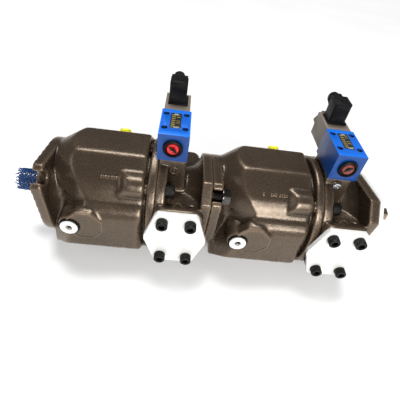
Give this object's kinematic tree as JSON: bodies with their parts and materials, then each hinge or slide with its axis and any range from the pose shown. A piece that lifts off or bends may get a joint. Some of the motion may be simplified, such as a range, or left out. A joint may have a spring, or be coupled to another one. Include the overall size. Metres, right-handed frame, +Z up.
{
  "type": "axial piston pump",
  "caption": "Tandem variable swashplate axial piston pump in brown cast iron, with blue solenoid pilot valves on top, white blanked suction ports and a splined drive shaft.",
  "frame": {"origin": "centre of the front mounting face, on the shaft line", "axes": "+X along the shaft from the drive end to the rear, +Z up towards the pilot valves, the suction ports face -Y"},
  "size_m": [0.6132, 0.2294, 0.287],
  "materials": {
    "cast_iron": "rough brown-grey casting",
    "zinc": "bright zinc plating",
    "black_oxide": "black oxide",
    "steel": "machined",
    "bolt_steel": "plated",
    "bronze": "machined bearing bronze",
    "yellow_plastic": "moulded",
    "red_plastic": "moulded",
    "valve_blue": "satin enamel",
    "solenoid_coat": "grey-brown coil coating",
    "black_plastic": "moulded",
    "net_blue": "extruded plastic net",
    "seal_rubber": "nitrile"
  },
  "bodies": {
    "pump_cases": {"front_housing": "cast_iron", "rear_housing": "cast_iron", "front_port_plate": "cast_iron", "rear_port_plate": "cast_iron", "suction_covers": "zinc", "cover_screws": "black_oxide", "port_plate_screws": "black_oxide", "drain_plugs": "zinc", "top_caps": "yellow_plastic", "port_plugs": "steel", "flange_bolts": "bolt_steel", "end_cover": "zinc", "shaft_bearings": "steel", "shaft_seals": "seal_rubber", "valve_plates": "bronze", "cradle_liners": "bronze", "front_valve_body": "valve_blue", "rear_valve_body": "valve_blue", "valve_screws": "black_oxide", "valve_end_rings": "black_plastic", "valve_end_caps": "red_plastic", "solenoids": "solenoid_coat", "connector_bases": "black_plastic", "connector_plugs": "black_plastic", "bias_springs": "steel"},
    "drive_line": {"front_shaft": "steel", "rear_shaft": "steel", "shaft_coupling": "steel", "shaft_net": "net_blue", "front_cylinder_block": "steel", "rear_cylinder_block": "steel"},
    "front_swashplate_body": {"front_swashplate": "steel"},
    "front_retainer_body": {"front_retainer": "steel"},
    "front_control_piston_body": {"front_control_piston": "steel"},
    "front_bias_piston_body": {"front_bias_piston": "steel"},
    "front_pistons_1_body": {"front_pistons_1": "steel"},
    "front_slippers_1_body": {"front_slippers_1": "bronze"},
    "front_pistons_2_body": {"front_pistons_2": "steel"},
    "front_slippers_2_body": {"front_slippers_2": "bronze"},
    "front_pistons_3_body": {"front_pistons_3": "steel"},
    "front_slippers_3_body": {"front_slippers_3": "bronze"},
    "front_pistons_4_body": {"front_pistons_4": "steel"},
    "front_slippers_4_body": {"front_slippers_4": "bronze"},
    "front_pistons_5_body": {"front_pistons_5": "steel"},
    "front_slippers_5_body": {"front_slippers_5": "bronze"},
    "rear_swashplate_body": {"rear_swashplate": "steel"},
    "rear_retainer_body": {"rear_retainer": "steel"},
    "rear_control_piston_body": {"rear_control_piston": "steel"},
    "rear_bias_piston_body": {"rear_bias_piston": "steel"},
    "rear_pistons_1_body": {"rear_pistons_1": "steel"},
    "rear_slippers_1_body": {"rear_slippers_1": "bronze"},
    "rear_pistons_2_body": {"rear_pistons_2": "steel"},
    "rear_slippers_2_body": {"rear_slippers_2": "bronze"},
    "rear_pistons_3_body": {"rear_pistons_3": "steel"},
    "rear_slippers_3_body": {"rear_slippers_3": "bronze"},
    "rear_pistons_4_body": {"rear_pistons_4": "steel"},
    "rear_slippers_4_body": {"rear_slippers_4": "bronze"},
    "rear_pistons_5_body": {"rear_pistons_5": "steel"},
    "rear_slippers_5_body": {"rear_slippers_5": "bronze"}
  },
  "joints": [
    {"name": "shaft_turn", "type": "hinge", "parent": "pump_cases", "child": "drive_line", "pos_m": [0, 0, 0], "axis": [1, 0, 0], "range_deg": [0, 360]},
    {"name": "front_swash_tilt", "type": "hinge", "parent": "pump_cases", "child": "front_swashplate_body", "pos_m": [0.095, 0, 0], "axis": [0, 1, 0], "range_deg": [0, 15.5], "deforming": ["bias_springs"]},
    {"name": "front_retainer_tilt", "type": "hinge", "parent": "drive_line", "child": "front_retainer_body", "pos_m": [0.095, 0, 0], "axis": [0, 1, 0], "range_deg": [0, 15.6]},
    {"name": "front_control_stroke", "type": "slide", "parent": "pump_cases", "child": "front_control_piston_body", "axis": [1, 0, 0], "range_m": [0, 0.0205]},
    {"name": "front_bias_stroke", "type": "slide", "parent": "pump_cases", "child": "front_bias_piston_body", "axis": [-1, 0, 0], "range_m": [0, 0.0202]},
    {"name": "front_piston_stroke_1", "type": "slide", "parent": "drive_line", "child": "front_pistons_1_body", "axis": [1, 0, 0], "range_m": [0, 0.01047]},
    {"name": "front_slipper_tilt_1", "type": "hinge", "parent": "front_pistons_1_body", "child": "front_slippers_1_body", "pos_m": [0.095, 0, 0.038], "axis": [0, 1, 0], "range_deg": [0, 15.6]},
    {"name": "front_piston_stroke_2", "type": "slide", "parent": "drive_line", "child": "front_pistons_2_body", "axis": [1, 0, 0], "range_m": [0, 0.00802]},
    {"name": "front_slipper_tilt_2", "type": "hinge", "parent": "front_pistons_2_body", "child": "front_slippers_2_body", "pos_m": [0.095, 0, 0.02911], "axis": [0, 1, 0], "range_deg": [0, 15.6]},
    {"name": "front_piston_stroke_3", "type": "slide", "parent": "drive_line", "child": "front_pistons_3_body", "axis": [1, 0, 0], "range_m": [0, 0.00183]},
    {"name": "front_slipper_tilt_3", "type": "hinge", "parent": "front_pistons_3_body", "child": "front_slippers_3_body", "pos_m": [0.095, 0, 0.0066], "axis": [0, 1, 0], "range_deg": [0, 15.6]},
    {"name": "front_piston_stroke_4", "type": "slide", "parent": "drive_line", "child": "front_pistons_4_body", "axis": [1, 0, 0], "range_m": [-0.00524, 0]},
    {"name": "front_slipper_tilt_4", "type": "hinge", "parent": "front_pistons_4_body", "child": "front_slippers_4_body", "pos_m": [0.095, 0, -0.019], "axis": [0, 1, 0], "range_deg": [0, 15.6]},
    {"name": "front_piston_stroke_5", "type": "slide", "parent": "drive_line", "child": "front_pistons_5_body", "axis": [1, 0, 0], "range_m": [-0.00984, 0]},
    {"name": "front_slipper_tilt_5", "type": "hinge", "parent": "front_pistons_5_body", "child": "front_slippers_5_body", "pos_m": [0.095, 0, -0.03571], "axis": [0, 1, 0], "range_deg": [0, 15.6]},
    {"name": "rear_swash_tilt", "type": "hinge", "parent": "pump_cases", "child": "rear_swashplate_body", "pos_m": [0.362, 0, 0], "axis": [0, 1, 0], "range_deg": [0, 15.5], "deforming": ["bias_springs"]},
    {"name": "rear_retainer_tilt", "type": "hinge", "parent": "drive_line", "child": "rear_retainer_body", "pos_m": [0.362, 0, 0], "axis": [0, 1, 0], "range_deg": [0, 15.6]},
    {"name": "rear_control_stroke", "type": "slide", "parent": "pump_cases", "child": "rear_control_piston_body", "axis": [1, 0, 0], "range_m": [0, 0.0205]},
    {"name": "rear_bias_stroke", "type": "slide", "parent": "pump_cases", "child": "rear_bias_piston_body", "axis": [-1, 0, 0], "range_m": [0, 0.0202]},
    {"name": "rear_piston_stroke_1", "type": "slide", "parent": "drive_line", "child": "rear_pistons_1_body", "axis": [1, 0, 0], "range_m": [0, 0.01047]},
    {"name": "rear_slipper_tilt_1", "type": "hinge", "parent": "rear_pistons_1_body", "child": "rear_slippers_1_body", "pos_m": [0.362, 0, 0.038], "axis": [0, 1, 0], "range_deg": [0, 15.6]},
    {"name": "rear_piston_stroke_2", "type": "slide", "parent": "drive_line", "child": "rear_pistons_2_body", "axis": [1, 0, 0], "range_m": [0, 0.00802]},
    {"name": "rear_slipper_tilt_2", "type": "hinge", "parent": "rear_pistons_2_body", "child": "rear_slippers_2_body", "pos_m": [0.362, 0, 0.02911], "axis": [0, 1, 0], "range_deg": [0, 15.6]},
    {"name": "rear_piston_stroke_3", "type": "slide", "parent": "drive_line", "child": "rear_pistons_3_body", "axis": [1, 0, 0], "range_m": [0, 0.00183]},
    {"name": "rear_slipper_tilt_3", "type": "hinge", "parent": "rear_pistons_3_body", "child": "rear_slippers_3_body", "pos_m": [0.362, 0, 0.0066], "axis": [0, 1, 0], "range_deg": [0, 15.6]},
    {"name": "rear_piston_stroke_4", "type": "slide", "parent": "drive_line", "child": "rear_pistons_4_body", "axis": [1, 0, 0], "range_m": [-0.00524, 0]},
    {"name": "rear_slipper_tilt_4", "type": "hinge", "parent": "rear_pistons_4_body", "child": "rear_slippers_4_body", "pos_m": [0.362, 0, -0.019], "axis": [0, 1, 0], "range_deg": [0, 15.6]},
    {"name": "rear_piston_stroke_5", "type": "slide", "parent": "drive_line", "child": "rear_pistons_5_body", "axis": [1, 0, 0], "range_m": [-0.00984, 0]},
    {"name": "rear_slipper_tilt_5", "type": "hinge", "parent": "rear_pistons_5_body", "child": "rear_slippers_5_body", "pos_m": [0.362, 0, -0.03571], "axis": [0, 1, 0], "range_deg": [0, 15.6]}
  ],
  "couplings": [
    {"joint": "front_retainer_tilt", "follows": "front_swash_tilt", "ratio": 1},
    {"joint": "front_control_stroke", "follows": "front_swash_tilt", "m_per_rad": 0.07534},
    {"joint": "front_bias_stroke", "follows": "front_swash_tilt", "m_per_rad": 0.07425},
    {"joint": "front_piston_stroke_1", "follows": "front_swash_tilt", "m_per_rad": 0.038665},
    {"joint": "front_slipper_tilt_1", "follows": "front_swash_tilt", "ratio": 1},
    {"joint": "front_piston_stroke_2", "follows": "front_swash_tilt", "m_per_rad": 0.029619},
    {"joint": "front_slipper_tilt_2", "follows": "front_swash_tilt", "ratio": 1},
    {"joint": "front_piston_stroke_3", "follows": "front_swash_tilt", "m_per_rad": 0.0067141},
    {"joint": "front_slipper_tilt_3", "follows": "front_swash_tilt", "ratio": 1},
    {"joint": "front_piston_stroke_4", "follows": "front_swash_tilt", "m_per_rad": -0.019332},
    {"joint": "front_slipper_tilt_4", "follows": "front_swash_tilt", "ratio": 1},
    {"joint": "front_piston_stroke_5", "follows": "front_swash_tilt", "m_per_rad": -0.036333},
    {"joint": "front_slipper_tilt_5", "follows": "front_swash_tilt", "ratio": 1},
    {"joint": "rear_retainer_tilt", "follows": "rear_swash_tilt", "ratio": 1},
    {"joint": "rear_control_stroke", "follows": "rear_swash_tilt", "m_per_rad": 0.07534},
    {"joint": "rear_bias_stroke", "follows": "rear_swash_tilt", "m_per_rad": 0.07425},
    {"joint": "rear_piston_stroke_1", "follows": "rear_swash_tilt", "m_per_rad": 0.038665},
    {"joint": "rear_slipper_tilt_1", "follows": "rear_swash_tilt", "ratio": 1},
    {"joint": "rear_piston_stroke_2", "follows": "rear_swash_tilt", "m_per_rad": 0.029619},
    {"joint": "rear_slipper_tilt_2", "follows": "rear_swash_tilt", "ratio": 1},
    {"joint": "rear_piston_stroke_3", "follows": "rear_swash_tilt", "m_per_rad": 0.0067141},
    {"joint": "rear_slipper_tilt_3", "follows": "rear_swash_tilt", "ratio": 1},
    {"joint": "rear_piston_stroke_4", "follows": "rear_swash_tilt", "m_per_rad": -0.019332},
    {"joint": "rear_slipper_tilt_4", "follows": "rear_swash_tilt", "ratio": 1},
    {"joint": "rear_piston_stroke_5", "follows": "rear_swash_tilt", "m_per_rad": -0.036333},
    {"joint": "rear_slipper_tilt_5", "follows": "rear_swash_tilt", "ratio": 1}
  ]
}
